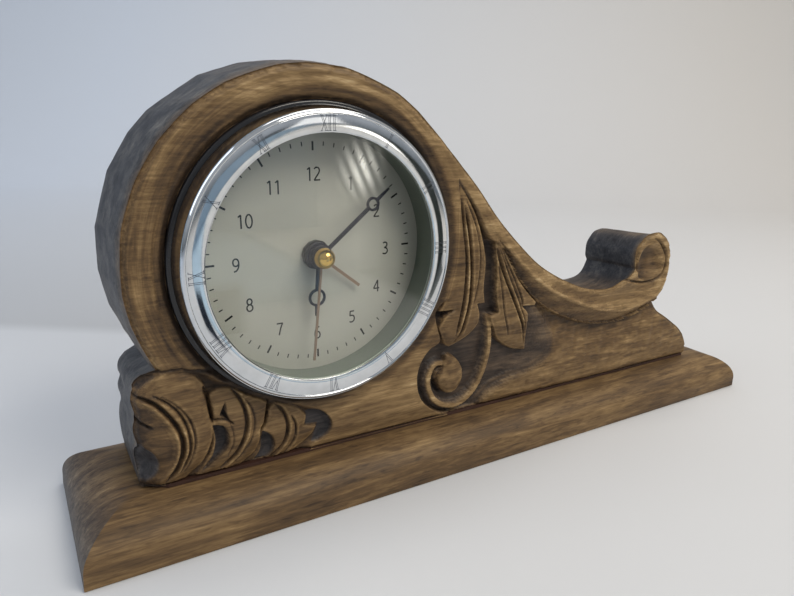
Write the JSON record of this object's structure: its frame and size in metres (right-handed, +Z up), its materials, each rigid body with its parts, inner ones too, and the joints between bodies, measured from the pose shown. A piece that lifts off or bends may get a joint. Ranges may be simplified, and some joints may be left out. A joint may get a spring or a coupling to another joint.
{
  "type": "desk clock",
  "caption": "Desk clock in a carved wooden case on a moulded plinth, with a round glazed alarm insert, numeral bezel, hands and a battery movement.",
  "frame": {"origin": "middle of the plinth's flat underside", "axes": "+X to the right seen from the front, along the plinth; +Y from the front to the back, away from someone who reads the dial; +Z up"},
  "size_m": [0.3, 0.06, 0.142],
  "materials": {
    "carved_wood": "stained and lacquered, with lighter worn ridges and dark recesses",
    "plinth_wood": "stained and lacquered, satin",
    "bezel_chrome": "polished, with an engraved numeral band",
    "black_ring": "glossy",
    "lens_glass": "clear and flat",
    "inner_ring": "satin grey green",
    "dial_silver": "fine satin silver with printed numerals",
    "dark_hands": "dark, semi-gloss",
    "thin_hands": "warm brown, satin",
    "brass": "polished",
    "housing_plastic": "moulded, matte",
    "movement_plastic": "moulded, fine texture",
    "wheel_plastic": "moulded acetal",
    "steel": "bright zinc plating",
    "board_laminate": "solder mask over laminate",
    "chip_cover": "potted",
    "coil_wire": "enamelled copper wire, wound",
    "bobbin_plastic": "moulded",
    "core_iron": "stamped and annealed",
    "magnet": "moulded ferrite",
    "buzzer_case": "moulded",
    "battery_jacket": "plain plastic sleeve over steel",
    "contact_metal": "nickel plated spring strip"
  },
  "bodies": {
    "case": {"plinth": "plinth_wood", "case_body": "carved_wood", "plinth_screws": "steel", "insert_can": "housing_plastic", "gasket_ring": "black_ring", "bezel": "bezel_chrome", "lens": "lens_glass", "reflector_ring": "inner_ring", "dial": "dial_silver", "dial_nut": "brass", "movement_front_case": "movement_plastic", "movement_back_case": "movement_plastic", "movement_screws": "steel", "stator": "core_iron", "coil_core": "core_iron", "coil_bobbin": "bobbin_plastic", "coil_winding": "coil_wire", "circuit_board": "board_laminate", "timing_chip": "chip_cover", "quartz_crystal": "steel", "buzzer": "buzzer_case", "alarm_contact_spring": "contact_metal", "battery": "battery_jacket", "battery_plus_contact": "contact_metal", "battery_minus_contact": "contact_metal"},
    "second": {"second_wheel": "wheel_plastic", "second_hand": "thin_hands", "hand_cap": "brass"},
    "minute": {"cannon_pinion": "wheel_plastic", "minute_hand": "dark_hands"},
    "hour": {"hour_wheel": "wheel_plastic", "hour_hand": "dark_hands"},
    "alarm": {"alarm_wheel": "wheel_plastic", "alarm_hand": "thin_hands"},
    "rotor": {"rotor": "magnet"},
    "intermediate_wheel": {"intermediate_wheel": "wheel_plastic"},
    "third_wheel": {"third_wheel": "wheel_plastic"},
    "centre_wheel": {"centre_wheel": "wheel_plastic"},
    "motion_wheel": {"motion_wheel": "wheel_plastic"},
    "time_set_knob": {"time_set_knob": "movement_plastic"},
    "alarm_set_knob": {"alarm_set_knob": "movement_plastic"},
    "alarm_switch": {"alarm_switch": "movement_plastic"},
    "battery_door": {"battery_door": "movement_plastic"}
  },
  "joints": [
    {"name": "rotor_spin", "type": "hinge", "parent": "case", "child": "rotor", "pos_m": [-0.0745, 0, 0.0982], "axis": [0, 1, 0], "continuous": true},
    {"name": "intermediate_spin", "type": "hinge", "parent": "case", "child": "intermediate_wheel", "pos_m": [-0.0745, 0, 0.0916], "axis": [0, 1, 0], "continuous": true},
    {"name": "second_spin", "type": "hinge", "parent": "case", "child": "second", "pos_m": [-0.0745, 0, 0.083], "axis": [0, 1, 0], "continuous": true},
    {"name": "third_spin", "type": "hinge", "parent": "case", "child": "third_wheel", "pos_m": [-0.08198, 0, 0.08732], "axis": [0, 1, 0], "continuous": true},
    {"name": "centre_spin", "type": "hinge", "parent": "case", "child": "centre_wheel", "pos_m": [-0.0745, 0, 0.083], "axis": [0, 1, 0], "continuous": true},
    {"name": "time_set_spin", "type": "hinge", "parent": "case", "child": "time_set_knob", "pos_m": [-0.05838, 0, 0.08732], "axis": [0, 1, 0], "continuous": true},
    {"name": "minute_spin", "type": "hinge", "parent": "case", "child": "minute", "pos_m": [-0.0745, 0, 0.083], "axis": [0, 1, 0], "continuous": true},
    {"name": "motion_spin", "type": "hinge", "parent": "case", "child": "motion_wheel", "pos_m": [-0.06702, 0, 0.08732], "axis": [0, 1, 0], "continuous": true},
    {"name": "hour_spin", "type": "hinge", "parent": "case", "child": "hour", "pos_m": [-0.0745, 0, 0.083], "axis": [0, 1, 0], "continuous": true},
    {"name": "alarm_spin", "type": "hinge", "parent": "case", "child": "alarm", "pos_m": [-0.0745, 0, 0.083], "axis": [0, 1, 0], "continuous": true},
    {"name": "alarm_set_spin", "type": "hinge", "parent": "case", "child": "alarm_set_knob", "pos_m": [-0.08206, 0, 0.07709], "axis": [0, 1, 0], "continuous": true},
    {"name": "alarm_switch_slide", "type": "slide", "parent": "case", "child": "alarm_switch", "axis": [1, 0, 0], "range_m": [0, 0.004]},
    {"name": "battery_door_hinge", "type": "hinge", "parent": "case", "child": "battery_door", "pos_m": [-0.0745, 0.0073, 0.0592], "axis": [-1, 0, 0], "range_deg": [0, 95]}
  ],
  "couplings": [
    {"joint": "intermediate_spin", "follows": "rotor_spin", "ratio": -0.2},
    {"joint": "second_spin", "follows": "rotor_spin", "ratio": 0.033333},
    {"joint": "third_spin", "follows": "rotor_spin", "ratio": -0.0044444},
    {"joint": "centre_spin", "follows": "rotor_spin", "ratio": 0.00055556},
    {"joint": "minute_spin", "follows": "time_set_spin", "ratio": 1},
    {"joint": "motion_spin", "follows": "time_set_spin", "ratio": -0.33333},
    {"joint": "hour_spin", "follows": "time_set_spin", "ratio": 0.083333},
    {"joint": "alarm_set_spin", "follows": "alarm_spin", "ratio": -3}
  ]
}
